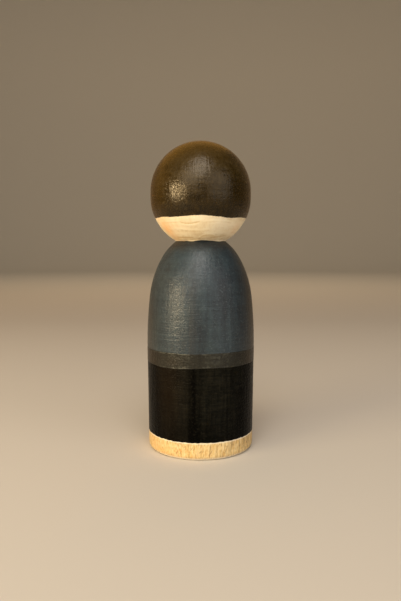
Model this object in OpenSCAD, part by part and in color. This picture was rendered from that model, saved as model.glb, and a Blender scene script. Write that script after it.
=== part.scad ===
// Painted wooden peg doll, standing on its bare foot, seen from behind from -Y.
// The turned body carries a glued ball head on a blind dowel, and five thin coats of
// paint lie on the timber: skin, hair, shirt, belt and trousers.
// Origin: centre of the foot, on the surface that the doll stands on. +Z is up, and
// the face side looks along +Y.

/* [Body] */
// Greatest diameter of the turned body, bare timber
body_d = 29.84; // [26:0.02:36]
// How much narrower the body is just above its rounded bottom edge
foot_taper = 0.56; // [0:0.02:1.5]
// Radius of the rounded bottom edge
foot_edge_r = 1.45; // [0.5:0.05:3]
// Height at which the sides stop rising straight
side_h = 29.5; // [29:0.1:40]
// Radius of the slow bend where the sides start to lean in
lean_r = 114; // [80:1:160]
// Angle through which that slow bend turns, in degrees
lean_turn = 6.7; // [4:0.1:9]
// Radius of the bend that forms the shoulder
shoulder_r = 27.9; // [24:0.1:32]
// Angle from upright at which the shoulder bend ends, in degrees
shoulder_turn = 28.7; // [22:0.1:34]
// Radius of the last bend, in to the neck
crown_r = 15.3; // [14:0.1:18]

/* [Head] */
// Diameter of the ball head, bare timber
head_d = 27.4; // [22:0.1:34]
// Height of the straight band that makes the ball a little taller than round
head_band_h = 1.4; // [0.2:0.1:4]
// Diameter of the flats where head and body meet at the neck
neck_d = 13.42; // [10:0.02:16]

/* [Neck joint] */
// Diameter of the glued dowel
dowel_d = 6; // [4:0.1:8]
// Length of the dowel
dowel_l = 22; // [14:0.5:30]
// Chamfer on each end of the dowel
dowel_chamfer = 0.6; // [0.2:0.1:1.5]
// Room for glue all round the dowel
glue_gap = 0.1; // [0.05:0.05:0.3]
// Room left beyond each end of the dowel
end_gap = 0.8; // [0.3:0.1:2]
// Angle of the drill's point, in degrees
drill_point = 118; // [90:1:140]
// Countersink round each socket's mouth
mouth_chamfer = 0.4; // [0.2:0.1:1]

/* [Paint] */
// Thickness of the skin coat
skin_t = 0.1; // [0.06:0.01:0.2]
// Thickness of the hair paint over that coat
hair_t = 0.08; // [0.04:0.01:0.2]
// Thickness of the clothes coat, shirt and trousers alike
cloth_t = 0.08; // [0.06:0.01:0.2]
// Thickness of the belt's paint over the clothes
belt_t = 0.06; // [0.04:0.01:0.2]
// How far one coat runs on under the next
paint_lap = 1.2; // [0.5:0.1:2.5]

/* [Painted lines] */
// Height of the bare foot below the trousers
bare_h = 4.9; // [2:0.1:10]
// Height of the belt's lower edge
belt_z = 24.7; // [18:0.1:26]
// Width of the belt
belt_w = 3.8; // [2:0.1:7]
// Height of the skin band between the neck and the hairline
nape_h = 6.2; // [3:0.1:9]
// Width of the face opening in the hair
face_w = 18.4; // [12:0.1:22]
// Height of the face opening, from the hairline to the fringe
face_h = 13.6; // [9:0.1:15]

/* [Hidden] */
$fn = 144;

// How far cutting shapes run past what they cut
overrun = 1;

body_r = body_d / 2;
foot_r = body_r - foot_taper / 2;
head_r = head_d / 2;
neck_r = neck_d / 2;
dowel_r = dowel_d / 2;
face_r = face_w / 2;

// Centres of the three bends of the shoulder, each [radius, height]
lean_centre = [body_r - lean_r, side_h];
shoulder_centre = lean_centre
    + (lean_r - shoulder_r) * [cos(lean_turn), sin(lean_turn)];
crown_centre = shoulder_centre
    + (shoulder_r - crown_r) * [cos(shoulder_turn), sin(shoulder_turn)];

// The neck is where the last bend has come in to the radius of the flats
neck_z = crown_centre[1] + sqrt(crown_r * crown_r - pow(neck_r - crown_centre[0], 2));

// Centres of the ball's lower and upper halves
head_low_z = neck_z + sqrt(head_r * head_r - neck_r * neck_r);
head_high_z = head_low_z + head_band_h;

hairline_z = neck_z + nape_h;
fringe_z = hairline_z + face_h;
face_z = fringe_z - face_r;
belt_top_z = belt_z + belt_w;
waist_z = belt_z + belt_w / 2;
hair_outer_t = skin_t + hair_t;
belt_outer_t = cloth_t + belt_t;
socket_r = dowel_r + glue_gap;
socket_depth = dowel_l / 2 + end_gap;

// Turns a half outline round the axis, starting and ending at the back of the doll
module turned() {
    rotate([0, 0, -90]) rotate_extrude() children();
}

// Right of the axis, between two heights, out to a width
module slab(low, high, wide) {
    translate([0, low]) square([wide, high - low]);
}

// The part of a circle's inside that lies right of the axis between two heights
module bend(centre, r, low, high) {
    intersection() {
        translate(centre) circle(r = r);
        slab(low, high, body_d);
    }
}

// Half outline of the turned body, grown outwards by the thickness of paint on it
module body_outline(grow) {
    lean_end = lean_centre[1] + (lean_r + grow) * sin(lean_turn);
    shoulder_end = shoulder_centre[1] + (shoulder_r + grow) * sin(shoulder_turn);
    polygon([
        [0, foot_edge_r],
        [foot_r + grow, foot_edge_r],
        [body_r + grow, side_h],
        [0, side_h],
    ]);
    bend(lean_centre, lean_r + grow, side_h, lean_end);
    bend(shoulder_centre, shoulder_r + grow, lean_end, shoulder_end);
    bend(crown_centre, crown_r + grow, shoulder_end, neck_z);
}

// Half outline of the rounded foot below the sides
module foot_outline() {
    slab(0, foot_edge_r, foot_r - foot_edge_r);
    intersection() {
        translate([foot_r - foot_edge_r, foot_edge_r]) circle(r = foot_edge_r);
        translate([foot_r - foot_edge_r, 0]) square(foot_edge_r);
    }
}

// Half outline of the head, grown outwards by the thickness of paint on it
module head_outline(grow) {
    r = head_r + grow;
    bend([0, head_low_z], r, neck_z, head_low_z);
    slab(head_low_z, head_high_z, r);
    bend([0, head_high_z], r, head_high_z, head_high_z + r);
}

// Blind socket drilled down from the origin, with its drill point and countersink
module socket() {
    point_h = socket_r / tan(drill_point / 2);
    turned()
        polygon([
            [0, -socket_depth - point_h],
            [socket_r, -socket_depth],
            [socket_r, -mouth_chamfer],
            [socket_r + mouth_chamfer, 0],
            [socket_r + mouth_chamfer, overrun],
            [0, overrun],
        ]);
}

// The side of the head that the face opening takes out: a round fringe over straight
// sides that reach down past the hairline
module face_region(grow) {
    side_foot = hairline_z - overrun;
    rotate([90, 0, 0])
        mirror([0, 0, 1])
            linear_extrude(head_r + hair_outer_t + overrun) {
                intersection() {
                    translate([0, face_z]) circle(r = face_r + grow);
                    translate([-head_r, face_z]) square([head_d, head_r]);
                }
                translate([-face_r - grow, side_foot])
                    square([face_w + 2 * grow, face_z - side_foot]);
            }
}

// Turned body with its rounded foot, bent-in shoulders and the socket in its neck flat
module body_peg() {
    color("#dfbd82")
        difference() {
            turned() {
                foot_outline();
                body_outline(0);
            }
            translate([0, 0, neck_z]) socket();
        }
}

// Turned ball head with the same flat and socket, the other way up
module head_ball() {
    color("#dcb97e")
        difference() {
            turned() head_outline(0);
            translate([0, 0, neck_z]) mirror([0, 0, 1]) socket();
        }
}

// Plain dowel, half in the body and half in the head
module neck_dowel() {
    color("#c9a268")
        translate([0, 0, neck_z - dowel_l / 2])
            turned()
                polygon([
                    [0, 0],
                    [dowel_r - dowel_chamfer, 0],
                    [dowel_r, dowel_chamfer],
                    [dowel_r, dowel_l - dowel_chamfer],
                    [dowel_r - dowel_chamfer, dowel_l],
                    [0, dowel_l],
                ]);
}

// Everything that the skin coat covers: the band at the nape and the face
module skin_region() {
    translate([0, 0, neck_z])
        cylinder(r = head_d, h = nape_h + paint_lap);
    face_region(paint_lap);
}

// Skin paint on the lower head and the face, running on under the hair's edge
module skin_coat() {
    color("#e9c595")
        intersection() {
            turned()
                difference() {
                    head_outline(skin_t);
                    head_outline(0);
                }
            skin_region();
        }
}

// Hair paint over the rest of the head, lapped over the skin coat's edge
module hair_coat() {
    color("#35291b")
        difference() {
            turned()
                difference() {
                    head_outline(hair_outer_t);
                    head_outline(0);
                    slab(0, hairline_z, head_d);
                }
            skin_coat();
            face_region(0);
        }
}

// A coat round the body between two heights and two distances from the timber
module body_coat(low, high, inner_t, outer_t) {
    turned()
        intersection() {
            difference() {
                body_outline(outer_t);
                body_outline(inner_t);
            }
            slab(low, high, body_d);
        }
}

// Slate shirt from under the belt up to the neck
module shirt_coat() {
    color("#424c50") body_coat(waist_z, neck_z, 0, cloth_t);
}

// Near-black trousers from the bare foot up under the belt
module trousers_coat() {
    color("#171511") body_coat(bare_h, waist_z, 0, cloth_t);
}

// Olive-grey belt, painted over the line where shirt and trousers meet
module belt_coat() {
    color("#3b372c") body_coat(belt_z, belt_top_z, cloth_t, belt_outer_t);
}

body_peg();
head_ball();
neck_dowel();
skin_coat();
hair_coat();
shirt_coat();
trousers_coat();
belt_coat();
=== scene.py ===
import math

import bpy
import numpy as np
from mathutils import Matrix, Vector


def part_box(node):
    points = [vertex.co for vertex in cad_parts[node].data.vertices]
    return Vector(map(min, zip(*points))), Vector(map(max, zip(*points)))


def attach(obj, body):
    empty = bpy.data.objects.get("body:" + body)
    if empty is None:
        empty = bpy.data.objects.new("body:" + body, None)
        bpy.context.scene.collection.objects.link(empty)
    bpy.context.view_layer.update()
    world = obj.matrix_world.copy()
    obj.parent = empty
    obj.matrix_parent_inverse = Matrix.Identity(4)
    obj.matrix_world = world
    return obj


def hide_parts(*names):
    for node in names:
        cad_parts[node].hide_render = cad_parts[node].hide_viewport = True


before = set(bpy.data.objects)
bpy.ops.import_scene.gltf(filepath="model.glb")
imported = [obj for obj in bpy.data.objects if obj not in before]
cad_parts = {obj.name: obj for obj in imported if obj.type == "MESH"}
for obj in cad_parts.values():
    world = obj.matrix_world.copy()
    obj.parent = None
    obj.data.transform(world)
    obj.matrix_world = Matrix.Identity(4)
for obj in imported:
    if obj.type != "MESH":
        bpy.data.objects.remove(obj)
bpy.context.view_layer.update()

# A turned wooden peg doll with a painted head and clothes, seen from behind.
# The doll stands on the origin, +Z is up and the camera looks along +Y.
# Sizes are in millimetres until a mesh is written, and azimuth 0 faces the camera and grows to +X.
# What a user would change stands in one dictionary per piece, beside that piece's code.

mm = 0.001                                        # one millimetre, in Blender's metres


def boxOf(node):                                  # lowest and highest corner of a CAD node, in mm
    low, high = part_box(node)
    return np.array(low) / mm, np.array(high) / mm


bodyLow, bodyHigh = boxOf("body_peg")
headLow, headHigh = boxOf("head_ball")
beltBottom, beltTop = (corner[2] for corner in boxOf("belt_coat"))
trousersHem = boxOf("trousers_coat")[0][2]        # the timber is bare below this height

bodyShape = {
    "radius": (bodyHigh[0] - bodyLow[0]) / 2,
    "neckHeight": bodyHigh[2],
    "footTaper": 0.28,         # how much less the radius is just above the rounded edge
    "footEdge": 1.45,          # radius of the rounded bottom edge
    "sideHeight": 29.5,        # where the sides stop rising straight
    # the three arcs above that: their radii, and how far each of the first two turns in
    "leanRadius": 114.0, "leanTurn": math.radians(6.7),
    "shoulderRadius": 27.9, "shoulderTurn": math.radians(28.7),
    "crownRadius": 15.3,
}
headShape = {
    "radius": (headHigh[0] - headLow[0]) / 2,
    "neckRadius": 6.71,        # where the ball sits down on the body
    "hairline": boxOf("hair_coat")[0][2],
    "faceWidth": 18.4, "faceHeight": 13.6,        # the opening in the hair, on the side along +Y
    "skinLap": 1.2,            # how far the skin paint runs on under the hair
}

timberRadius = bodyShape["radius"]
neckHeight = bodyShape["neckHeight"]
headRadius = headShape["radius"]
headLowCentre = neckHeight + math.sqrt(headRadius ** 2 - headShape["neckRadius"] ** 2)
headHighCentre = headHigh[2] - headRadius


# Camera: solved from the outline and the level rings in the photograph. The picture is measured in
# pixels, clipStart is in metres, and the other lengths are in mm.
cameraPlace = {
    "focalPixels": 595.6, "imageHeight": 601, "sensor": 36.0, "clipStart": 0.01,
    "sideways": -0.05, "distance": 166.6, "height": 56.4, "pitchDown": 5.22,
}


def makeCamera():
    data = bpy.data.cameras.new("camera")
    data.sensor_width = cameraPlace["sensor"]
    data.lens = cameraPlace["sensor"] * cameraPlace["focalPixels"] / cameraPlace["imageHeight"]
    data.clip_start = cameraPlace["clipStart"]
    camera = bpy.data.objects.new("camera", data)
    place = Vector((cameraPlace["sideways"], -cameraPlace["distance"], cameraPlace["height"]))
    camera.location = place * mm
    camera.rotation_euler = (math.radians(90 - cameraPlace["pitchDown"]), 0, 0)
    bpy.context.scene.collection.objects.link(camera)
    bpy.context.scene.camera = camera


makeCamera()
print("camera placed")


# Outlines. Each gives the radius, the height and the outward direction along the timber.

def bodyOutline(z):
    # A straight, slightly widening side, then three arcs that each start where the last one
    # ends and turn further in. On an arc of radius R round (c, h) the radius is
    # c + sqrt(R^2 - (z - h)^2), and the outward direction points away from (c, h).
    shape = bodyShape
    side = shape["sideHeight"]
    leanCentre = np.array([timberRadius - shape["leanRadius"], side])
    turn = np.array([math.cos(shape["leanTurn"]), math.sin(shape["leanTurn"])])
    shoulderCentre = leanCentre + (shape["leanRadius"] - shape["shoulderRadius"]) * turn
    leanEnd = leanCentre[1] + shape["leanRadius"] * turn[1]
    turn = np.array([math.cos(shape["shoulderTurn"]), math.sin(shape["shoulderTurn"])])
    crownCentre = shoulderCentre + (shape["shoulderRadius"] - shape["crownRadius"]) * turn
    shoulderEnd = shoulderCentre[1] + shape["shoulderRadius"] * turn[1]

    climb = (z - shape["footEdge"]) / (side - shape["footEdge"])
    radius = timberRadius - shape["footTaper"] * (1 - climb)
    outR = np.ones_like(z)
    outZ = np.zeros_like(z)
    arcs = (
        (side, leanCentre, shape["leanRadius"]),
        (leanEnd, shoulderCentre, shape["shoulderRadius"]),
        (shoulderEnd, crownCentre, shape["crownRadius"]),
    )
    for start, centre, bend in arcs:
        rise = np.clip((z - centre[1]) / bend, -1, 1)
        reach = np.sqrt(1 - rise ** 2)
        on = z > start
        radius = np.where(on, centre[0] + bend * reach, radius)
        outR = np.where(on, reach, outR)
        outZ = np.where(on, rise, outZ)
    return radius, z, outR, outZ


lowerArc = headRadius * math.acos(headShape["neckRadius"] / headRadius)
bandHeight = headHighCentre - headLowCentre
headArc = lowerArc + bandHeight + headRadius * math.pi / 2    # from the neck to the crown


def headOutline(s):
    # Distance s runs up the head from the neck: an arc of the lower ball, a short straight
    # band, and a quarter circle of the upper ball that ends at the crown.
    band = np.clip(s - lowerArc, 0, bandHeight)
    tilt = (s - lowerArc - band) / headRadius
    outR = np.cos(tilt)
    outZ = np.sin(tilt)
    return headRadius * outR, headLowCentre + band + headRadius * outZ, outR, outZ


def arcAtHeight(z):                               # the distance up the head at a height
    below = np.arcsin(np.clip((z - headLowCentre) / headRadius, -1, 0))
    above = np.arcsin(np.clip((z - headHighCentre) / headRadius, 0, 1))
    return lowerArc + headRadius * (below + above) + np.clip(z - headLowCentre, 0, bandHeight)


def surfacePoints(outline, angle, s, offset):
    # The outline at s, pushed outwards by offset. At a radius r and an angle a, x is r sin(a) and
    # y is -r cos(a).
    radius, z, outR, outZ = outline(s)
    angle = np.broadcast_to(angle, s.shape)
    reach = radius + offset * outR
    return np.stack([reach * np.sin(angle), -reach * np.cos(angle), z + offset * outZ], axis=-1)


# Patterns that the reliefs are made of

def softNoise(points, cell, seed):
    # Smooth noise between -1 and 1. A repeating lattice of random numbers has cells of
    # cell = (x, y, z) mm. From one corner to the next, at a share t of the way, the value has
    # gone 3 t^2 - 2 t^3 of the difference.
    size = 32
    lattice = np.random.default_rng(seed).uniform(-1, 1, (size, size, size))
    place = points / np.array(cell)
    corner = np.floor(place).astype(int)
    share = place - corner
    share = share * share * (3 - 2 * share)
    value = np.zeros(points.shape[:-1])
    for step in np.ndindex(2, 2, 2):
        weight = np.prod(np.where(step, share, 1 - share), axis=-1)
        at = (corner + step) % size
        value += weight * lattice[at[..., 0], at[..., 1], at[..., 2]]
    return value


def azimuthOf(points):                            # in degrees
    return np.degrees(np.arctan2(points[..., 0], -points[..., 1]))


def turnBetween(degrees, centre):                 # the shortest way round, in degrees
    return (degrees - centre + 180) % 360 - 180


def swells(angle, terms):
    # A sum of bells round the doll, each (azimuth, half width, height), in degrees and mm
    degrees = np.degrees(angle)
    return sum(tall * np.exp(-(turnBetween(degrees, at) / wide) ** 2) for at, wide, tall in terms)


def ripples(angle, terms):                        # a sum of sines, each (count, phase, height)
    return sum(tall * np.sin(count * angle + phase) for count, phase, tall in terms)


def patches(points, terms):
    # A sum of soft spots, each (azimuth, half width in degrees, height, half height in mm, amount)
    degrees = azimuthOf(points)
    z = points[..., 2]
    return sum(
        amount * np.exp(-(turnBetween(degrees, at) / wide) ** 2 - ((z - high) / tall) ** 2)
        for at, wide, high, tall, amount in terms
    )


def brushRelief(points, layers, coat):
    # A sum of noises, each (which of the coat's relief heights, share of it, cell in mm, seed step)
    return sum(
        share * coat["relief"][height] * softNoise(points, cell, coat["seed"] + step)
        for height, share, cell, step in layers
    )


hollowShare = 0.6                                 # how deep the hollow beside a ridge is
hollowPlace = 1.6                                 # how many of the ridge's widths it lies below


def bristleRidge(points, ridge):
    # A ridge along a shallow arc: its line is the parabola through its two ends and its middle.
    # Across it the height is a bell less a smaller bell just below. Along it the height is the
    # square root of a parabola that is 1 in the middle and 0 at both ends.
    start, end, startZ, middleZ, endZ, tall, width = ridge
    along = np.clip(turnBetween(azimuthOf(points), start) / (end - start), 0, 1)
    bow = 4 * along * (1 - along)
    line = startZ + (endZ - startZ) * along + (middleZ - (startZ + endZ) / 2) * bow
    across = (points[..., 2] - line) / width
    hollow = hollowShare * np.exp(-(across + hollowPlace) ** 2)
    return tall * np.sqrt(bow) * (np.exp(-across ** 2) - hollow)


def edgeShare(distance, width):
    # The share of its full thickness that a coat has at a distance from its edge: a tenth on the
    # edge, and from there a quarter ellipse that reaches 1 at width.
    inside = 1 - np.clip(distance / width, 0, 1)
    return 0.1 + 0.9 * np.sqrt(1 - inside ** 2)


def bead(distance, place, width):                 # the lip that a brush leaves along an edge
    return np.exp(-((distance - place) / width) ** 2)


def lipLumps(points, coat):                       # how much of its height the lip has at a point
    level, swing, cell = coat["lumps"]
    return level + swing * softNoise(points, cell, coat["seed"] - 1)


# painted light and shade: a tone that is lighter on the ridges of the film and darker in its
# hollows
def ridgePaintedShade(film, flat, tints):                 # above 0 on ridges of the film, below in hollows
    return np.clip((film - flat) / tints["ridgeHeight"], -1, 1) * tints["ridgePaintedShade"]


# Meshes

nearBothEdges = (0, 0.02, 0.05, 0.09, 0.14, 0.2, 0.28, 0.38)    # mm; a coat's rows stand close here


def coatRows(count, low, high):
    # Rows between a lower and an upper edge: close together near both, and evenly spread between
    # the innermost of these.
    nearEdge = np.array(nearBothEdges)[:, None]
    deep = nearEdge[-1]
    share = np.linspace(0, 1, count)[:, None]
    middle = low + deep + share * (high - low - 2 * deep)
    return np.concatenate([low + nearEdge[:-1], middle, high - nearEdge[-2::-1]])


def ringQuads(start, rows, columns, outward):     # faces of a grid that closes round the doll
    here = np.arange(columns)
    after = (here + 1) % columns
    ring = start + np.arange(rows)[:, None] * columns
    corners = [ring[:-1] + here, ring[:-1] + after, ring[1:] + after, ring[1:] + here]
    return np.stack(corners if outward else corners[::-1], axis=-1).reshape(-1, 4)


def strip(low, high, columns):                    # faces between two rims
    here = np.arange(columns)
    after = (here + 1) % columns
    return np.stack([low + here, low + after, high + after, high + here], axis=-1)


def poleFan(pole, ring, columns, outward):        # faces from a rim to one point
    here = np.arange(columns)
    after = (here + 1) % columns
    fan = [ring + here, ring + after, np.full(columns, pole)]
    return np.stack(fan if outward else fan[::-1], axis=-1)


def writeMesh(name, vertices, faces, attributes, material, node):
    mesh = bpy.data.meshes.new(name)
    loops = np.concatenate([group.reshape(-1) for group in faces])
    sizes = np.concatenate([np.full(len(group), group.shape[1]) for group in faces])
    mesh.vertices.add(len(vertices))
    mesh.vertices.foreach_set("co", (vertices * mm).astype(np.float32).reshape(-1))
    mesh.loops.add(len(loops))
    mesh.loops.foreach_set("vertex_index", loops.astype(np.int32))
    mesh.polygons.add(len(sizes))
    starts = np.concatenate([[0], np.cumsum(sizes)[:-1]])
    mesh.polygons.foreach_set("loop_start", starts.astype(np.int32))
    mesh.polygons.foreach_set("use_smooth", np.ones(len(sizes), bool))
    mesh.update(calc_edges=True)
    for key, value in attributes.items():
        layer = mesh.attributes.new(key, "FLOAT", "POINT")
        layer.data.foreach_set("value", value.astype(np.float32))
    piece = bpy.data.objects.new(name, mesh)
    bpy.context.scene.collection.objects.link(piece)
    mesh.materials.append(material)
    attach(piece, "root")
    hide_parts(node)
    print(name, "made,", int((sizes - 2).sum()), "triangles")


def writeShell(name, outerGrid, innerGrid, ridges, crowned, coat):
    # A closed coat of paint: an outer and an inner grid that share their columns, joined by
    # strips at the rims, or closed on one point each where the coat is crowned.
    # Each vertex keeps the coat's soft spots of painted light, shade and warm reflection (tone and
    # warmth), and ridges adds the painted shade of the film's ridges and hollows to the tone.
    columns = outerGrid.shape[1]
    vertices = []
    faces = []
    starts = []
    count = 0
    for grid, outward in ((outerGrid, True), (innerGrid, False)):
        rows = len(grid) - 1 if crowned else len(grid)
        vertices.append(grid[:rows].reshape(-1, 3))
        faces.append(ringQuads(count, rows, columns, outward))
        starts.append((count, count + (rows - 1) * columns))
        count += rows * columns
        if crowned:
            vertices.append(grid[-1, :1])
            faces.append(poleFan(count, count - columns, columns, outward))
            count += 1
    (outerLow, outerTop), (innerLow, innerTop) = starts
    faces.append(strip(innerLow, outerLow, columns))
    if not crowned:
        faces.append(strip(outerTop, innerTop, columns))
    vertices = np.concatenate(vertices)
    attributes = {key: patches(vertices, coat["tints"][key]) for key in ("tone", "warmth")}
    attributes["tone"][:ridges.size] += ridges.reshape(-1)
    writeMesh(name, vertices, faces, attributes, coat["paint"], coat["node"])


# Materials

noiseLow, noiseHigh = 0.35, 0.65                  # nearly all of a noise pattern lies between these
patternShift = 3                                  # mm from one pattern's start to the next one's


def linearColour(code):                           # sRGB hex to linear, with alpha
    parts = [int(code[i:i + 2], 16) / 255 for i in (1, 3, 5)]
    return [p / 12.92 if p <= 0.04045 else ((p + 0.055) / 1.055) ** 2.4 for p in parts] + [1.0]


def addNode(tree, kind, links=None, output=0, **settings):
    # A node with its settings and with what feeds it, given back as one of its outputs
    node = tree.nodes.new(kind)
    for key, value in settings.items():
        setattr(node, key, value)
    for key, value in (links or {}).items():
        if isinstance(value, bpy.types.NodeSocket):
            tree.links.new(value, node.inputs[key])
        else:
            node.inputs[key].default_value = value
    return node.outputs[output] if len(node.outputs) else node


def newMaterial(name):
    material = bpy.data.materials.new(name)
    material.use_nodes = True
    tree = material.node_tree
    tree.nodes.clear()
    shader = tree.nodes.new("ShaderNodeBsdfPrincipled")
    addNode(tree, "ShaderNodeOutputMaterial", {"Surface": shader.outputs[0]})
    return material, shader


def layPatterns(tree, finish):
    # Each pattern of a finish is noise: (x, y, z) in mm that its lumps are about as wide as, how
    # many layers of finer lumps it has, and the degrees by which it leans. The numbers kept at the
    # vertices join the patterns under their own names.
    patterns = {}
    place = addNode(tree, "ShaderNodeTexCoord", output="Object")
    for count, (name, (cell, detail, lean)) in enumerate(finish["patterns"].items()):
        spread = addNode(tree, "ShaderNodeMapping", {
            "Vector": place, "Location": (patternShift * count * mm,) * 3,
            "Rotation": (0, math.radians(lean), 0), "Scale": [size * mm for size in cell],
        }, vector_type="TEXTURE")
        patterns[name] = addNode(tree, "ShaderNodeTexNoise", {
            "Vector": spread, "Scale": 1.0, "Detail": detail, "Roughness": 0.55,
        })
    for name in ("tone", "warmth", "edgeLight", "cut"):
        patterns[name] = addNode(tree, "ShaderNodeAttribute", output="Fac", attribute_name=name)
    if "rings" in finish:
        # Growth rings: the distance to the tree's heart in ring widths, plus some wander, keeps
        # only its fraction, which climbs to the dark late wood and drops back at once.
        rings = finish["rings"]
        away = addNode(tree, "ShaderNodeMapping", {
            "Vector": place, "Location": [part * mm for part in rings["heart"]] + [0.0],
            "Scale": (rings["width"] * mm, rings["width"] * mm, 1.0),
        }, vector_type="TEXTURE")
        far = addNode(tree, "ShaderNodeVectorMath", {0: away}, "Value", operation="LENGTH")
        far = addNode(tree, "ShaderNodeMath", {0: patterns["wander"], 1: rings["wander"], 2: far},
                      operation="MULTIPLY_ADD")
        patterns["rings"] = addNode(tree, "ShaderNodeMath", {0: far}, operation="FRACT")
    return patterns


def weighPatterns(tree, patterns, weights):       # the sum of each pattern times its weight
    total = 0.0
    for name, weight in weights.items():
        total = addNode(tree, "ShaderNodeMath", {0: patterns[name], 1: weight, 2: total},
                        operation="MULTIPLY_ADD")
    return total


def finishMaterial(name, finish):
    # Over the ground colour come the others in turn: as the weighed patterns climb from low to
    # high, a colour covers those before it, up to its share. The roughness follows one pattern
    # between two ends, and the relief is weighed in mm.
    material, shader = newMaterial(name)
    tree = material.node_tree
    patterns = layPatterns(tree, finish)
    colour = linearColour(finish["ground"])
    for weights, low, high, share, code in finish["colours"]:
        amount = addNode(tree, "ShaderNodeMapRange", {
            "Value": weighPatterns(tree, patterns, weights),
            "From Min": low, "From Max": high, "To Max": share,
        })
        # inputs 6 and 7 and output 2 are the mix node's sockets for colours
        colour = addNode(tree, "ShaderNodeMix", {0: amount, 6: colour, 7: linearColour(code)}, 2,
                         data_type="RGBA")
    pattern, smooth, rough = finish["roughness"]
    roughness = addNode(tree, "ShaderNodeMapRange", {
        "Value": patterns[pattern], "From Min": noiseLow, "From Max": noiseHigh,
        "To Min": smooth, "To Max": rough,
    })
    relief = addNode(tree, "ShaderNodeBump", {
        "Height": weighPatterns(tree, patterns, finish["relief"]), "Distance": mm,
        "Strength": 1.0,
    })
    tree.links.new(colour, shader.inputs["Base Color"])
    tree.links.new(roughness, shader.inputs["Roughness"])
    tree.links.new(relief, shader.inputs["Normal"])
    for socket, value in finish["sockets"].items():
        shader.inputs[socket].default_value = value
    return material


# Acrylic craft paint, brushed in thin coats on turned timber: a satin skin with long low strokes
# round the doll, the grain of the timber showing through as upright streaks, and a fine grit
# that breaks each highlight into small bright specks. The bristles leave strokes half a millimetre
# apart, and the coat is thinner and thicker over 5 mm, the width of the brush. Real grit and the
# timber's fibres are 0.1 to 0.3 mm, and they are drawn at half a millimetre, because anything
# finer is lost between the picture's points.

uprightGrain = (0.55, 0.55, 6.0)


def brushedPaint(name, paint):
    strokeHeight, grainHeight, gritHeight = paint["relief"]
    return finishMaterial(name, {
        "patterns": {
            "strokes": (paint["strokeCell"], 2.0, 0.0),
            "grain": (paint["grainCell"], 2.0, 0.0),
            "grit": (paint["gritCell"], 1.0, 0.0),
            "cloud": ((5.0, 5.0, 7.0), 2.0, 0.0),
            "streak": ((1.1, 1.1, 30.0), 3.0, 0.0),
            "specks": ((0.5, 0.5, 0.42), 0.0, 0.0),
        },
        "ground": paint["ground"],
        "colours": (
            ({"cloud": 1.0}, 0.3, 0.7, 1.0, paint["cloud"]),
            ({"strokes": 1.0, "grain": 1.0}, 0.85, 1.3, 0.6, paint["thin"]),
            # darker streaks, and painted shade where the tone is below 0
            ({"streak": 1.0, "tone": -1.0}, 0.45, 1.1, 1.0, paint["dark"]),
            ({"specks": 1.0}, 0.64, 0.78, paint["speckShare"], paint["light"]),
            # painted light and highlight where the tone is above 0
            ({"tone": 1.0}, 0.0, 1.0, 1.0, paint["light"]),
            # painted warm light and reflection where the warmth is above 0
            ({"warmth": 1.0}, 0.0, 1.0, 1.0, paint["warm"]),
        ),
        "roughness": ("grit", *paint["roughness"]),
        "relief": {"strokes": strokeHeight, "grain": grainHeight, "grit": gritHeight},
        "sockets": {
            "IOR": paint["ior"],
            "Specular IOR Level": paint["specular"],
            "Specular Tint": linearColour(paint["specularTint"]),
            "Sheen Weight": paint["sheen"],
            "Sheen Roughness": 0.4,
            "Sheen Tint": linearColour(paint["sheenTint"]),
        },
    })


# The hair is so dark that it takes its looks from the light: soft grey glows over the bristle
# lines, with a painted lighter glow over the top, one glint broken into specks, and a golden
# brown bloom towards its outline, partly a painted warm reflection.
hairPaint = brushedPaint("umber-black acrylic, brushed satin", {
    "ground": "#1e1400", "cloud": "#241901", "thin": "#2d2107", "dark": "#120b00",
    "light": "#493d26", "warm": "#42300b", "speckShare": 0.2,
    "strokeCell": (5.0, 5.0, 0.5), "gritCell": (0.48, 0.48, 0.42), "relief": (0.026, 0.055, 0.066),
    "grainCell": (0.45, 9.0, 9.0),     # the brush was drawn over the head from front to back
    "roughness": (0.21, 0.33), "ior": 1.4, "specular": 0.5, "specularTint": "#fff2dc",
    "sheen": 0.18, "sheenTint": "#a8720a",
})
# The skin is thick and chalky, so its ridges show by their shade, part of it painted shade, with
# hardly any gloss.
skinPaint = brushedPaint("cream acrylic, brushed thick", {
    "ground": "#efe0bf", "cloud": "#eddab3", "thin": "#f3e7cc", "dark": "#d7bb8c",
    "light": "#fff0d2", "warm": "#f8b766", "speckShare": 0.2,
    "strokeCell": (4.0, 4.0, 0.5), "gritCell": (0.6, 0.6, 0.5), "relief": (0.05, 0.01, 0.015),
    "grainCell": uprightGrain,
    "roughness": (0.45, 0.6), "ior": 1.48, "specular": 0.5, "specularTint": "#ffffff",
    "sheen": 0.05, "sheenTint": "#fff0d8",
})
# The shirt is a dull blue-grey with an eggshell gloss, which draws a wide brushed glint.
shirtPaint = brushedPaint("slate acrylic, brushed satin", {
    "ground": "#27333a", "cloud": "#2a3538", "thin": "#323f45", "dark": "#1c2328",
    "light": "#455053", "warm": "#352c20", "speckShare": 0.4,
    "strokeCell": (4.0, 4.0, 0.45), "gritCell": (0.43, 0.43, 0.43), "relief": (0.075, 0.06, 0.06),
    "grainCell": uprightGrain,
    "roughness": (0.33, 0.45), "ior": 1.45, "specular": 0.5, "specularTint": "#ffffff",
    "sheen": 0.05, "sheenTint": "#c0a070",
})
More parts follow.
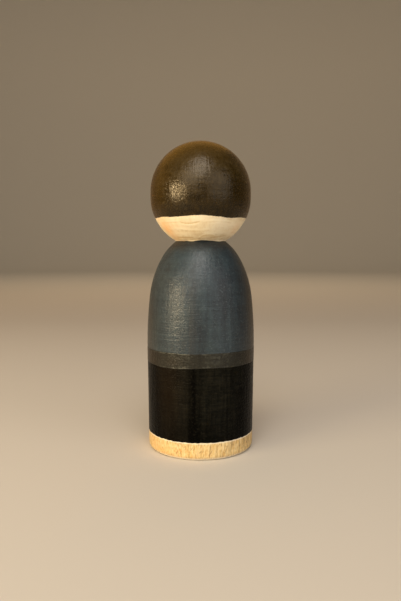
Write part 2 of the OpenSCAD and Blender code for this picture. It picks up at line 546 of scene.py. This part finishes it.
# The belt is a greener, browner grey of the same gloss, and its raised lips catch the light and are
# painted lighter as well.
beltPaint = brushedPaint("olive-grey acrylic, brushed satin", {
    "ground": "#201f17", "cloud": "#23221b", "thin": "#2b2a22", "dark": "#17150f",
    "light": "#5f5f54", "warm": "#2c200e", "speckShare": 0.15,
    "strokeCell": (4.0, 4.0, 0.5), "gritCell": (0.5, 0.5, 0.45), "relief": (0.04, 0.03, 0.12),
    "grainCell": uprightGrain,
    "roughness": (0.32, 0.44), "ior": 1.4, "specular": 0.4, "specularTint": "#ffffff",
    "sheen": 0.03, "sheenTint": "#c0a070",
})
# The trousers are almost black and hardly shine, so only faint brown streaks and grit show.
trousersPaint = brushedPaint("soft black acrylic, brushed flat", {
    "ground": "#0d0e0b", "cloud": "#0f0e09", "thin": "#232017", "dark": "#020201",
    "light": "#2b2820", "warm": "#1a1107", "speckShare": 0.2,
    "strokeCell": (3.0, 3.0, 0.45), "gritCell": (0.5, 0.5, 0.45), "relief": (0.1, 0.07, 0.12),
    "grainCell": uprightGrain,
    "roughness": (0.26, 0.38), "ior": 1.4, "specular": 0.055, "specularTint": "#ffffff",
    "sheen": 0.0, "sheenTint": "#a08050",
})

# Birch, turned and sanded bare: pale honey, close upright grain, short darker flecks on the
# side, and the arcs of the growth rings where the foot is cut across. Its fibres and pores are
# drawn at a third to half a millimetre, two or three times as coarse as they are, to show at all.
birch = finishMaterial("turned birch, sanded and bare", {
    "patterns": {
        "wander": ((9.0, 9.0, 30.0), 2.0, 0.0),
        "fibre": ((0.45, 0.45, 4.0), 3.0, 0.0),
        "brown": ((0.34, 0.34, 7.0), 2.0, 4.0),
        "fleck": ((0.4, 0.4, 1.5), 1.0, 24.0),
        "cloud": ((3.0, 3.0, 3.5), 2.0, 0.0),
        "pores": ((0.5, 0.5, 0.9), 1.0, 0.0),
    },
    # the heart's place and one ring's width in mm, and the wander in ring widths
    "rings": {"heart": (26.0, 17.0), "width": 1.3, "wander": 4.0},
    "ground": "#d6b574",
    "colours": (
        ({"cloud": 1.0}, 0.35, 0.65, 0.5, "#dcb36c"),
        ({"rings": 1.0}, 0.4, 0.95, 0.6, "#d3ac70"),
        ({"rings": 1.0, "cut": 0.3}, 1.0, 1.28, 0.7, "#b4884c"),
        ({"fibre": 0.55, "pores": 0.45, "cut": -0.12}, 0.4, 0.62, 0.8, "#ead29d"),
        ({"pores": -1.0, "cut": -0.05}, -0.43, -0.32, 0.55, "#c29756"),
        ({"brown": 1.0, "tone": 0.1, "cut": -0.1}, 0.57, 0.66, 0.7, "#9a7b4c"),
        ({"fleck": 1.0, "cut": -0.1}, 0.61, 0.69, 0.65, "#906b38"),
        # painted warm light where the warmth is above 0
        ({"warmth": 1.0}, 0.0, 1.0, 1.0, "#f2a34e"),
        # painted light: a paler band on the rounded edge and along the hem
        ({"edgeLight": 1.0}, 0.0, 1.0, 1.0, "#fff6e2"),
    ),
    "roughness": ("fibre", 0.5, 0.68),
    "relief": {"fibre": 0.05, "pores": 0.03, "brown": -0.04, "fleck": -0.04},
    "sockets": {"IOR": 1.5},
})
for node in ("head_ball", "neck_dowel"):
    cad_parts[node].data.materials.clear()
    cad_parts[node].data.materials.append(birch)
print("materials made")


# Clothes. The coats share the body's columns, so that no coat's flats cut another's.
# In each coat's values, in mm, film is its usual distance from the timber, inner is that of the
# surface it lies on, and relief holds the heights of its strokes, grain and grit, which grow over
# fade from an edge. The edge is rounded over edge, and lip, bead and lumps are the height, the
# place and width, and the unevenness of the lip there. The tints are soft spots of painted light
# and shade: tone above 0 is a lighter painted highlight and below 0 a darker painted shade, and
# warmth is browner, a painted warm light and reflection. A ridge that stands ridgeHeight above
# the film is painted lighter by the value beside it, and a hollow as much darker: painted shade.

bodyColumns = 560
bodyAngle = np.linspace(-math.pi, math.pi, bodyColumns, endpoint=False)
waistHeight = (beltBottom + beltTop) / 2
innerRows = 24                                    # of the side that lies on the timber
creaseReach = 0.12                                # mm over which a coat turns level at the neck
beltFade = 0.5                                    # mm over which relief grows beside the belt
clothLayers = (                                   # strokes, grain and grit, for brushRelief
    (0, 1.0, (5.0, 5.0, 0.6), 0),
    (1, 1.0, (0.6, 0.6, 8.0), 1),
    (2, 1.0, (0.6, 0.6, 0.6), 2),
)


def clothOutline(z):
    # Up the body to the crease at the neck, and then on up the head, where the brush slipped
    # past it. Near the crease the outward direction turns level, so that a coat bends smoothly.
    onBody = bodyOutline(np.minimum(z, neckHeight))
    onHead = headOutline(arcAtHeight(np.maximum(z, neckHeight)))
    radius, height, outR, outZ = (
        np.where(z > neckHeight, high, low) for low, high in zip(onBody, onHead))
    crease = np.exp(-((z - neckHeight) / creaseReach) ** 2)
    outR = outR + crease * (1 - outR)
    outZ = outZ * (1 - crease)
    size = np.hypot(outR, outZ)
    return radius, height, outR / size, outZ / size


def bodyCoat(name, coat, filmAt):
    # filmAt gives the outer surface's distance from the timber, from the points on the timber
    # and the distances to the coat's lower and upper edge.
    low, high = coat["low"], coat["high"]
    z = coatRows(coat["rows"], low, high)
    bare = surfacePoints(clothOutline, bodyAngle, z, 0.0)
    film = filmAt(bare, z - low, high - z)
    outerGrid = surfacePoints(clothOutline, bodyAngle, z, film)
    bend = np.minimum(high - 0.05, neckHeight)    # a row in the crease keeps the inside on timber
    z = np.concatenate([low + np.linspace(0, 1, innerRows)[:, None] * (bend - low), high[None]])
    innerGrid = surfacePoints(clothOutline, bodyAngle, z, coat["inner"])
    ridges = ridgePaintedShade(film, np.median(film), coat["tints"])
    writeShell(name, outerGrid, innerGrid, ridges, False, coat)


belt = {
    "paint": beltPaint, "slot": "belt_paint", "node": "belt_coat", "rows": 30, "seed": 32,
    "inner": 0.05, "thinnest": 0.06, "film": 0.09, "thickest": 0.14,
    "relief": (0.010, 0.004, 0.012), "fade": 0.4, "edge": 0.12,
    "lip": 0.045, "bead": (0.22, 0.16), "lumps": (0.65, 1.3, (0.8, 0.8, 9.0)),
    "lipLeast": 0.35, "lipMost": 1.2, "lipBelow": 0.6, "lipAbove": 1.15,    # shares of the lip
    "lipSwell": ((-30, 32, 0.9), (160, 50, 0.5)),    # where the brush left the edge thickest
    "low": beltBottom
    + swells(bodyAngle, ((-40, 16, -0.33), (-22, 9, -0.12), (10, 14, 0.1), (40, 30, 0.1),
                         (150, 40, -0.08)))
    + ripples(bodyAngle, ((7, 0.4, 0.03), (19, 1.1, 0.02), (43, 0.3, 0.015))),
    "high": beltTop + swells(bodyAngle, ((-20, 30, 0.06), (28, 26, 0.22)))
    + ripples(bodyAngle, ((9, 0.2, 0.025), (23, 0.9, 0.02), (51, 2.0, 0.015))),
    # painted light and shade: darker at the middle of the front and at both sides; warmth, browner
    # at both sides and where the key light falls on the left, is a painted warm reflection and
    # light
    "tints": {
        "ridgePaintedShade": 0.55, "ridgeHeight": 0.04,
        "tone": ((-3, 6, 26.5, 6, -0.25), (62, 20, 26.5, 6, -0.6), (-68, 20, 26.5, 6, -0.6)),
        "warmth": ((64, 10, 26.5, 3, 0.5), (-62, 14, 26, 3, 0.4), (-30, 9, 26.2, 1.4, 0.25)),
    },
}


def beltFilm(points, fromLow, fromHigh):
    # The film, a lip along both edges and the relief. The lip's height is multiplied by its swell
    # round the doll, by its lumps, and by a share for the lower or the upper edge.
    edge = np.minimum(fromLow, fromHigh)
    swell = belt["lipLeast"] + swells(np.radians(azimuthOf(points)), belt["lipSwell"])
    lumps = lipLumps(points, belt)
    lumps = lumps * np.where(fromLow < fromHigh, belt["lipBelow"], belt["lipAbove"])
    relief = brushRelief(points, clothLayers, belt) * np.clip(edge / belt["fade"], 0, 1)
    lip = belt["lip"] * np.clip(swell * lumps, 0, belt["lipMost"]) * bead(edge, *belt["bead"])
    film = np.clip(belt["film"] + lip + relief, belt["thinnest"], belt["thickest"])
    return belt["inner"] + (film - belt["inner"]) * edgeShare(edge, belt["edge"])


bodyCoat("belt", belt, beltFilm)


def clearOfBelt(points):                          # 0 where the belt lies on a coat, 1 in the open
    half = (beltTop - beltBottom) / 2
    return np.clip((np.abs(points[..., 2] - waistHeight) - half) / beltFade, 0, 1)


shirt = {
    "paint": shirtPaint, "slot": "shirt_paint", "node": "shirt_coat", "rows": 136, "seed": 41,
    "inner": 0.0, "film": 0.05, "relief": (0.012, 0.010, 0.010), "fade": 0.5, "edge": 0.12,
    "ridges": ((11, 21, 40.5, 40.1, 40.2, 0.03, 0.13), (14, 24, 40.1, 39.7, 39.9, 0.02, 0.12),
               (-64, -22, 33.2, 33.0, 33.1, 0.015, 0.15), (-50, -8, 30.6, 30.5, 30.7, 0.015, 0.15)),
    "low": np.full(bodyColumns, waistHeight),
    "high": neckHeight - 0.05
    + swells(bodyAngle, ((6, 15, 0.24), (150, 30, 0.15), (-120, 20, 0.1)))
    + ripples(bodyAngle, ((13, 1.2, 0.015), (29, 0.5, 0.012))),
    # painted shade: darker upright bands where no studio reflection falls, a darker right side and
    # a band of painted shade all round under the head; warmth is a painted warm reflection, mostly
    # at both sides
    "tints": {
        "ridgePaintedShade": 0.5, "ridgeHeight": 0.04,
        "tone": ((-7, 4, 36, 12, -0.3), (1, 9, 31, 9, -0.35), (25, 4, 42, 14, -0.12),
                 (25, 11, 45, 8, -0.55), (46, 10, 42, 20, -0.35), (70, 16, 36, 20, -0.8),
                 (0, 400, 57.2, 1.4, -0.7)),
        "warmth": ((72, 14, 40, 16, 0.6), (-9, 4, 36, 10, 0.2), (-68, 17, 34, 14, 0.4)),
    },
}


def shirtFilm(points, fromLow, fromHigh):
    # The film, with the relief and a few single ridges where the belt doesn't cover them
    relief = brushRelief(points, clothLayers, shirt)
    relief += sum(bristleRidge(points, ridge) for ridge in shirt["ridges"])
    relief = relief * clearOfBelt(points) * np.clip(fromHigh / shirt["fade"], 0, 1)
    return (shirt["film"] + relief) * edgeShare(fromHigh, shirt["edge"])


bodyCoat("shirt", shirt, shirtFilm)

trousers = {
    "paint": trousersPaint, "slot": "trousers_paint", "node": "trousers_coat", "rows": 110,
    "seed": 51, "inner": 0.0, "film": 0.05, "relief": (0.010, 0.012, 0.010), "fade": 0.4,
    "edge": 0.14, "lip": 0.015, "bead": (0.22, 0.15),
    "low": trousersHem + 0.03
    + ripples(bodyAngle, ((3, 0.5, 0.03), (17, 1.0, 0.03), (41, 0.2, 0.035), (67, 2.2, 0.025))),
    "high": np.full(bodyColumns, waistHeight),
    # painted shade: a darker upright band at the front and darker sides, and darker towards the
    # hem; warmth is a painted warm glow where the key light falls on the left, and a painted warm
    # reflection at the right side
    "tints": {
        "ridgePaintedShade": 0.5, "ridgeHeight": 0.04,
        "tone": ((-7, 5, 16, 16, -0.6), (62, 18, 16, 20, -0.8), (-67, 19, 16, 20, -0.8),
                 (0, 400, 4, 7, -0.4)),
        "warmth": ((-36, 17, 20, 14, 0.6), (82, 12, 15, 16, 0.3)),
    },
}


def trousersFilm(points, fromLow, fromHigh):
    # The film and the relief where the belt doesn't cover them, and a lip along the hem
    relief = brushRelief(points, clothLayers, trousers)
    relief = relief * clearOfBelt(points) * np.clip(fromLow / trousers["fade"], 0, 1)
    film = trousers["film"] + relief + trousers["lip"] * bead(fromLow, *trousers["bead"])
    return film * edgeShare(fromLow, trousers["edge"])


bodyCoat("trousers", trousers, trousersFilm)


# Hair and skin. The hairline runs almost level round the back and rises over the blank face.

headColumns = 600
cornerSteps = 24                                  # columns that a sharp corner is averaged over
fringeSteps, sideSteps, levelSteps = 200, 100, 300    # points on the parts of the hairline's curve
headLayers = (                                    # strokes, finer strokes, grain and grit
    (0, 1.0, (4.5, 4.5, 0.55), 0),
    (0, 0.5, (1.6, 1.6, 0.35), 5),
    (1, 1.0, (0.6, 0.6, 7.0), 1),
    (2, 1.0, (0.6, 0.6, 0.6), 2),
)


def hairEdgeCurve():
    # The edge of the opening in x and z, from the middle of the fringe to its lower corner, is a
    # quarter circle and a straight side. Its angle from the front is arcsin(x / radius). The
    # level hairline closes the rest, and the columns are spaced evenly along the whole edge.
    half = headShape["faceWidth"] / 2
    hairline = headShape["hairline"]
    fringeCentre = hairline + headShape["faceHeight"] - half
    turn = np.linspace(0, math.pi / 2, fringeSteps)
    x = np.concatenate([half * np.sin(turn), np.full(sideSteps, half)])
    z = np.concatenate([fringeCentre + half * np.cos(turn),
                        np.linspace(fringeCentre, hairline, sideSteps)])
    fromFront = np.arcsin(x / headOutline(arcAtHeight(z))[0])
    level = np.linspace(fromFront[-1], math.pi, levelSteps)[1:]
    fromFront = np.concatenate([fromFront, level])
    s = arcAtHeight(np.concatenate([z, np.full(len(level), hairline)]))
    angle = np.concatenate([fromFront - math.pi, math.pi - fromFront[-2::-1]])
    s = np.concatenate([s, s[-2::-1]])
    steps = np.hypot(np.diff(s), headOutline(s)[0][1:] * np.diff(angle))
    along = np.concatenate([[0], np.cumsum(steps)])
    even = np.linspace(0, along[-1], headColumns, endpoint=False)
    angle = np.interp(even, along, angle)
    s = np.interp(even, along, s)
    weights = np.hanning(cornerSteps + 1)
    padded = np.concatenate([s[-cornerSteps:], s, s[:cornerSteps]])
    return angle, np.convolve(padded, weights / weights.sum(), "same")[cornerSteps:-cornerSteps]


headAngle, hairlineArc = hairEdgeCurve()
hair = {
    "paint": hairPaint, "slot": "hair_paint", "node": "hair_coat", "rows": 128, "seed": 62,
    "under": 0.065,            # the skin paint that it laps over
    "thinnest": 0.07, "film": 0.14, "thickest": 0.178,
    "relief": (0.008, 0.009, 0.011), "fade": 0.4, "edge": 0.14,
    "deeper": 1.2, "deeperReach": 3,    # the share that relief gains by the hairline, and how far
    "lip": 0.02, "bead": (0.22, 0.15), "lumps": (0.6, 0.6, (1.5, 1.5, 9.0)),
    "innerRows": 14,
    "low": hairlineArc
    + swells(headAngle, ((-2, 19, 0.4), (-52, 10, 0.13), (37, 13, -0.27), (24, 5, 0.06)))
    + ripples(headAngle, ((13, 1.0, 0.015), (31, 0.5, 0.02), (57, 1.7, 0.012))),
    # painted light and shade: darker along the hairline, a painted lighter glow over the top, and
    # golden painted warm reflections at the left side and over the crown
    "tints": {
        "ridgePaintedShade": 0.5, "ridgeHeight": 0.03,
        "tone": ((0, 60, 65, 2.5, -0.4), (40, 14, 70, 5, -0.2), (-12, 12, 66, 2.0, -0.15),
                 (-3, 44, 78, 6, 0.36), (-20, 15, 75, 4, 0.2)),
        "warmth": ((-70, 25, 72, 14, 0.5), (0, 400, 82, 4, 0.45)),
    },
}


def makeHair():
    # From the hairline to the crown. The outer surface's distance from the timber is the film,
    # the relief and a lip of uneven height along the hairline. The inner surface lies on the skin
    # paint as far as that reaches, and above it on the timber.
    low = hair["low"]
    s = coatRows(hair["rows"], low, np.full(headColumns, headArc))
    bare = surfacePoints(headOutline, headAngle, s, 0.0)
    fromEdge = s - low
    relief = brushRelief(bare, headLayers, hair) * np.clip(fromEdge / hair["fade"], 0, 1)
    relief *= 1 + hair["deeper"] * np.exp(-(fromEdge / hair["deeperReach"]) ** 2)
    lip = hair["lip"] * lipLumps(bare, hair) * bead(fromEdge, *hair["bead"])
    film = np.clip(hair["film"] + relief + lip, hair["thinnest"], hair["thickest"])
    film = hair["under"] + (film - hair["under"]) * edgeShare(fromEdge, hair["edge"])
    outerGrid = surfacePoints(headOutline, headAngle, s, film)
    lap = headShape["skinLap"]
    overLap = np.array([0, lap / 2, lap - 0.05, lap + 0.15])[:, None]    # rows at the skin's edge
    rest = np.linspace(0, 1, hair["innerRows"])[1:, None]
    onTimber = low + overLap[-1]
    s = np.concatenate([low + overLap, onTimber + rest * (headArc - onTimber)])
    offset = np.where(s - low < lap, hair["under"], 0.0)
    innerGrid = surfacePoints(headOutline, headAngle, s, offset)
    ridges = ridgePaintedShade(film[:-1], hair["film"], hair["tints"])
    writeShell("hair", outerGrid, innerGrid, ridges, True, hair)


skin = {
    "paint": skinPaint, "slot": "skin_paint", "node": "skin_coat", "rows": 92, "seed": 71,
    "thinnest": 0.02, "film": 0.065, "thickest": 0.1,
    "relief": (0.016, 0.002, 0.004), "fade": 0.3, "edge": 0.12,
    "underHair": 0.35,         # how far before the hairline the relief starts to fade
    "lip": 0.03, "bead": (0.2, 0.2), "innerRows": 16,
    # ridges: azimuth from, to, height at the start, middle and end, how tall, how wide
    "ridges": (
        (-28, -1, 62.66, 62.22, 62.76, -0.06, 0.19),
        (-4, 26, 58.8, 59.68, 59.3, 0.042, 0.2),
        (-50, -13, 58.8, 58.68, 58.72, -0.05, 0.17),
        (44, 62, 62.3, 61.8, 60.9, 0.022, 0.2),
        (-67, -53, 62.5, 61.2, 59.5, 0.04, 0.2),
        (-30, 14, 60.95, 60.7, 60.95, 0.03, 0.25),
        (2, 50, 62.7, 63.1, 62.6, 0.03, 0.22),
        (-64, -26, 63.2, 62.9, 63.1, 0.03, 0.2),
        (14, 52, 58.6, 58.9, 59.3, -0.03, 0.2),
    ),
    # more ridges of the same kind, strewn over the sides and the face
    "strewn": {
        "seed": 77, "count": 34, "azimuth": (70, 270), "height": (58.6, 76), "tilt": 0.3,
        "length": (14, 45), "tall": 0.03, "width": (0.15, 0.28),
    },
    "low": 0.06,               # up the head from the neck, and more where the shirt climbs
    "neckRise": ((6, 15, 0.34), (150, 30, 0.2), (-120, 20, 0.15)),
    "neckRipple": ((5, 0.4, 0.02), (11, 1.9, 0.015), (29, 0.3, 0.015)),
    # how much taller than lip the lip at the neck is
    "neckSwell": ((-19, 10, 0.2), (44, 13, 0.22), (74, 10, 0.08), (-62, 16, 0.07), (100, 30, 0.1)),
    # painted light and shade: a painted shade in the crease at the neck and painted light on the
    # right side; warmth is painted warm light on both sides
    "tints": {
        "ridgePaintedShade": 0.5, "ridgeHeight": 0.04,
        "tone": ((0, 70, 58.2, 1.2, -0.45), (45, 25, 61, 5, 0.12)),
        "warmth": ((-60, 12, 61, 2.4, 0.4), (62, 12, 61, 2.0, 0.22), (-58, 20, 61, 6, 0.2)),
    },
}


def strewRidges(strewn):
    draw = np.random.default_rng(strewn["seed"])
    ridges = []
    for _ in range(strewn["count"]):
        start = draw.uniform(*strewn["azimuth"])
        middle = draw.uniform(*strewn["height"])
        ends = middle + draw.uniform(-strewn["tilt"], strewn["tilt"], 2)
        end = start + draw.uniform(*strewn["length"])
        tall = draw.uniform(-strewn["tall"], strewn["tall"])
        width = draw.uniform(*strewn["width"])
        ridges.append((start, end, ends[0], middle, ends[1], tall, width))
    return ridges


def makeSkin():
    # From the neck, over the blank face too, to a little way under the hair. The outer surface's
    # distance from the timber is the film, the relief and the ridges, which fade out under the
    # hair, and a lip at the neck that swells here and there. The inner surface is the timber.
    low = skin["low"] + swells(headAngle, skin["neckRise"])
    low = low + ripples(headAngle, skin["neckRipple"])
    high = hair["low"] + headShape["skinLap"]
    s = coatRows(skin["rows"], low, high)
    bare = surfacePoints(headOutline, headAngle, s, 0.0)
    fromLow = s - low
    uncovered = np.clip((hair["low"] - s) / skin["underHair"], 0, 1)
    relief = brushRelief(bare, headLayers, skin)
    relief += sum(bristleRidge(bare, ridge)
                  for ridge in (*skin["ridges"], *strewRidges(skin["strewn"])))
    relief *= uncovered * np.clip(fromLow / skin["fade"], 0, 1)
    neck = skin["lip"] + swells(headAngle, skin["neckSwell"])
    film = np.clip(skin["film"] + relief, skin["thinnest"], skin["thickest"])
    film = film + neck * bead(fromLow, *skin["bead"])
    film = film * edgeShare(fromLow, skin["edge"])
    outerGrid = surfacePoints(headOutline, headAngle, s, film)
    s = low + np.linspace(0, 1, skin["innerRows"])[:, None] * (high - low)
    innerGrid = surfacePoints(headOutline, headAngle, s, 0.0)
    ridges = ridgePaintedShade(film, skin["film"], skin["tints"])
    writeShell("skin", outerGrid, innerGrid, ridges, False, skin)


makeHair()
makeSkin()


# The turned body: one closed solid of revolution from the middle of the foot, round its edge,
# up the side, in over the neck flat and down the socket to the drill's point.

body = {
    "socketRadius": 3.1, "socketDepth": 11.8, "drillPoint": math.radians(118), "mouth": 0.4,
    "grainDepth": 0.012, "grainCell": (0.5, 0.5, 6.0),
    "pitDepth": 0.04, "pitCell": (0.5, 0.5, 1.4), "pitLevel": 0.45,
    "toolDepth": 0.02, "toolPitch": 1.2,          # the rings that the parting tool left underneath
    "toolCell": (4.0, 4.0, 4.0), "seed": 81,
    # points on the flat, the rounded edge, the bare side up to bareTop, the side and the shoulders
    "flatSteps": 44, "edgeSteps": 15, "bareSteps": 36, "sideSteps": 14, "shoulderSteps": 40,
    "bareTop": 5.4, "hemLap": 0.3,                # hemLap: how far grain runs on under the paint
    # painted light: paler wood colour on the rounded edge and by the hem: the height and reach of
    # each, and its share
    "rimLight": (0.3, 0.36), "hemLight": (4.85, 0.2), "hemLightShare": 0.8, "edgeLightShare": 0.9,
    "tone": ((70, 38, 3, 6, 1.0), (8, 12, 3, 5, 0.2), (170, 50, 3, 6, 0.6)),
    # painted warm light on the left of the bare foot
    "warmth": ((-45, 16, 1.8, 1.0, 0.3), (-20, 6, 2.6, 0.5, 0.3), (-62, 10, 4, 2, 0.15)),
}


def makeBody():
    # The outline of radius and height is turned round the axis. On the bare side the radius is
    # less by the grain and the pits: the grain's depth times 1 + noise, and the pits' depth times
    # what noise rises above a level. Underneath, the height is more by a sine of the radius.
    shape = bodyShape
    footFlat = timberRadius - shape["footTaper"] - shape["footEdge"]
    flat = np.linspace(0, footFlat, body["flatSteps"])
    turn = np.linspace(-math.pi / 2, 0, body["edgeSteps"])[1:]
    edgeR = footFlat + shape["footEdge"] * np.cos(turn)
    edgeZ = shape["footEdge"] * (1 + np.sin(turn))
    bends = (shape["footEdge"], body["bareTop"], shape["sideHeight"], neckHeight)
    counts = (body["bareSteps"], body["sideSteps"], body["shoulderSteps"])
    sideZ = np.concatenate([
        np.linspace(start, end, count)[1:] for start, end, count in zip(bends, bends[1:], counts)])
    bore = body["socketRadius"]
    floorZ = neckHeight - body["socketDepth"]
    boreR = [bore + body["mouth"], bore, bore, 0.0]
    boreZ = [neckHeight, neckHeight - body["mouth"], floorZ,
             floorZ - bore / math.tan(body["drillPoint"] / 2)]
    radius = np.concatenate([flat, edgeR, bodyOutline(sideZ)[0], boreR])[:, None]
    z = np.concatenate([np.zeros_like(flat), edgeZ, sideZ, boreZ])[:, None]
    points = np.stack(np.broadcast_arrays(
        radius * np.sin(bodyAngle), -radius * np.cos(bodyAngle), z), axis=-1)
    bare = (z < trousersHem + body["hemLap"]) & (radius > footFlat)
    grain = body["grainDepth"] * (1 + softNoise(points, body["grainCell"], body["seed"]))
    pits = softNoise(points, body["pitCell"], body["seed"] + 1) - body["pitLevel"]
    inward = np.where(bare, grain + body["pitDepth"] * np.clip(pits, 0, 1), 0.0)
    points[..., :2] *= (1 - inward / np.maximum(radius, 1.0))[..., None]
    marks = body["toolDepth"] * (0.5 + 0.5 * np.sin(2 * math.pi * radius / body["toolPitch"]))
    marks = marks * (0.7 + 0.3 * softNoise(points, body["toolCell"], body["seed"] + 2))
    underside = np.arange(len(z))[:, None] < len(flat) - 1
    points[..., 2] += np.where(underside, marks, 0.0)

    rows = len(radius) - 2
    top = 1 + rows * bodyColumns
    vertices = np.concatenate([points[0, :1], points[1:-1].reshape(-1, 3), points[-1, :1]])
    faces = [
        ringQuads(1, rows, bodyColumns, True),
        poleFan(0, 1, bodyColumns, False),
        poleFan(top, top - bodyColumns, bodyColumns, True),
    ]
    reach = np.hypot(vertices[:, 0], vertices[:, 1])
    height = vertices[:, 2]
    # painted light: a paler band on the rounded edge, not on the flat, and another along the hem
    edgeLight = bead(height, *body["rimLight"]) * (reach > footFlat + 0.2)    # not on the flat
    edgeLight += body["hemLightShare"] * bead(height, *body["hemLight"])
    endGrain = (height < 0.05) & (reach < footFlat)
    attributes = {
        "edgeLight": edgeLight * body["edgeLightShare"],
        "cut": endGrain.astype(float),
        "tone": patches(vertices, body["tone"]),
        "warmth": patches(vertices, body["warmth"]),
    }
    writeMesh("body", vertices, faces, attributes, birch, "body_peg")


makeBody()


# Floor and lights

floorShape = {                                    # a pale paper bowl, in metres
    "rings": (0.02, 0.3), "flat": 1.2, "bend": 0.6, "wall": 0.5,
    "bendSteps": 24, "columns": 96,
}


def makeFloor():
    # A surface of revolution: flat, then a quarter circle that turns up, then a straight wall.
    flat, bend = floorShape["flat"], floorShape["bend"]
    turn = np.linspace(0, math.pi / 2, floorShape["bendSteps"])
    r = np.concatenate([floorShape["rings"], flat + bend * np.sin(turn), [flat + bend]])[:, None]
    z = np.concatenate([[0, 0], bend * (1 - np.cos(turn)), [bend + floorShape["wall"]]])[:, None]
    around = np.linspace(0, 2 * math.pi, floorShape["columns"], endpoint=False)
    grid = np.stack(np.broadcast_arrays(r * np.cos(around), r * np.sin(around), z), axis=-1)
    vertices = np.concatenate([grid.reshape(-1, 3), [[0, 0, 0]]])
    quads = ringQuads(0, len(r), len(around), False)
    fan = poleFan(len(vertices) - 1, 0, len(around), True)
    mesh = bpy.data.meshes.new("floor")
    mesh.from_pydata(vertices.tolist(), [], quads.tolist() + fan.tolist())
    mesh.polygons.foreach_set("use_smooth", np.ones(len(mesh.polygons), bool))
    floor = bpy.data.objects.new("floor", mesh)
    bpy.context.scene.collection.objects.link(floor)
    # Studio paper off the roll, smooth and matt: it shows nothing but the doll's soft shadow.
    material, shader = newMaterial("pale matt paper")
    shader.inputs["Base Color"].default_value = linearColour("#c9c2b6")
    shader.inputs["Roughness"].default_value = 0.85
    mesh.materials.append(material)


lampAim = Vector((0, 0, 0.045))                   # the middle of the doll, in metres
lamps = (
    # name, outline, azimuth, elevation, distance, width and height in metres, watts, colour
    ("warm key", "RECTANGLE", -54.5, 9.4, 0.45, 0.215, 0.04, 1.37, "#ffe6ba"),
    ("warm bounce", "RECTANGLE", -100, 22, 0.7, 0.5, 0.4, 0.35, "#ffc470"),
    ("high front", "ELLIPSE", 0, 57, 0.6, 0.32, 0.44, 1.85, "#fff8f2"),
    ("upper left soft box", "RECTANGLE", -22, 31, 0.7, 0.55, 0.5, 2.3, "#fff4e4"),
    ("broad fill", "ELLIPSE", 42, 20, 0.9, 0.98, 0.78, 2.6, "#fffaf6"),
    ("golden back", "RECTANGLE", -164, 48, 0.7, 0.8, 0.5, 0.65, "#ffb848"),
    ("backdrop glow", "RECTANGLE", 180, 50, 0.8, 0.6, 0.3, 3.0, "#ffe6c4"),
)
lampBacks = {"backdrop glow": Vector((0, -1, 0.35))}    # the others turn their backs from the doll
world = {"colour": "#efe9df", "strength": 0.08}


def makeLights():
    for name, outline, azimuth, elevation, distance, width, height, watts, colour in lamps:
        data = bpy.data.lights.new(name, "AREA")
        data.shape = outline
        data.size = width
        data.size_y = height
        data.energy = watts
        data.color = linearColour(colour)[:3]
        lamp = bpy.data.objects.new(name, data)
        turn = math.radians(azimuth)
        rise = math.radians(elevation)
        level = math.cos(rise)
        away = Vector((math.sin(turn) * level, -math.cos(turn) * level, math.sin(rise)))
        lamp.location = lampAim + away * distance
        lamp.rotation_euler = lampBacks.get(name, away).to_track_quat("Z", "Y").to_euler()
        bpy.context.scene.collection.objects.link(lamp)
    studio = bpy.data.worlds.new("studio")
    studio.use_nodes = True
    background = studio.node_tree.nodes["Background"]
    background.inputs["Color"].default_value = linearColour(world["colour"])
    background.inputs["Strength"].default_value = world["strength"]
    bpy.context.scene.world = studio
    bpy.context.scene.view_settings.view_transform = "Standard"


makeFloor()
makeLights()
print("floor and lights made")
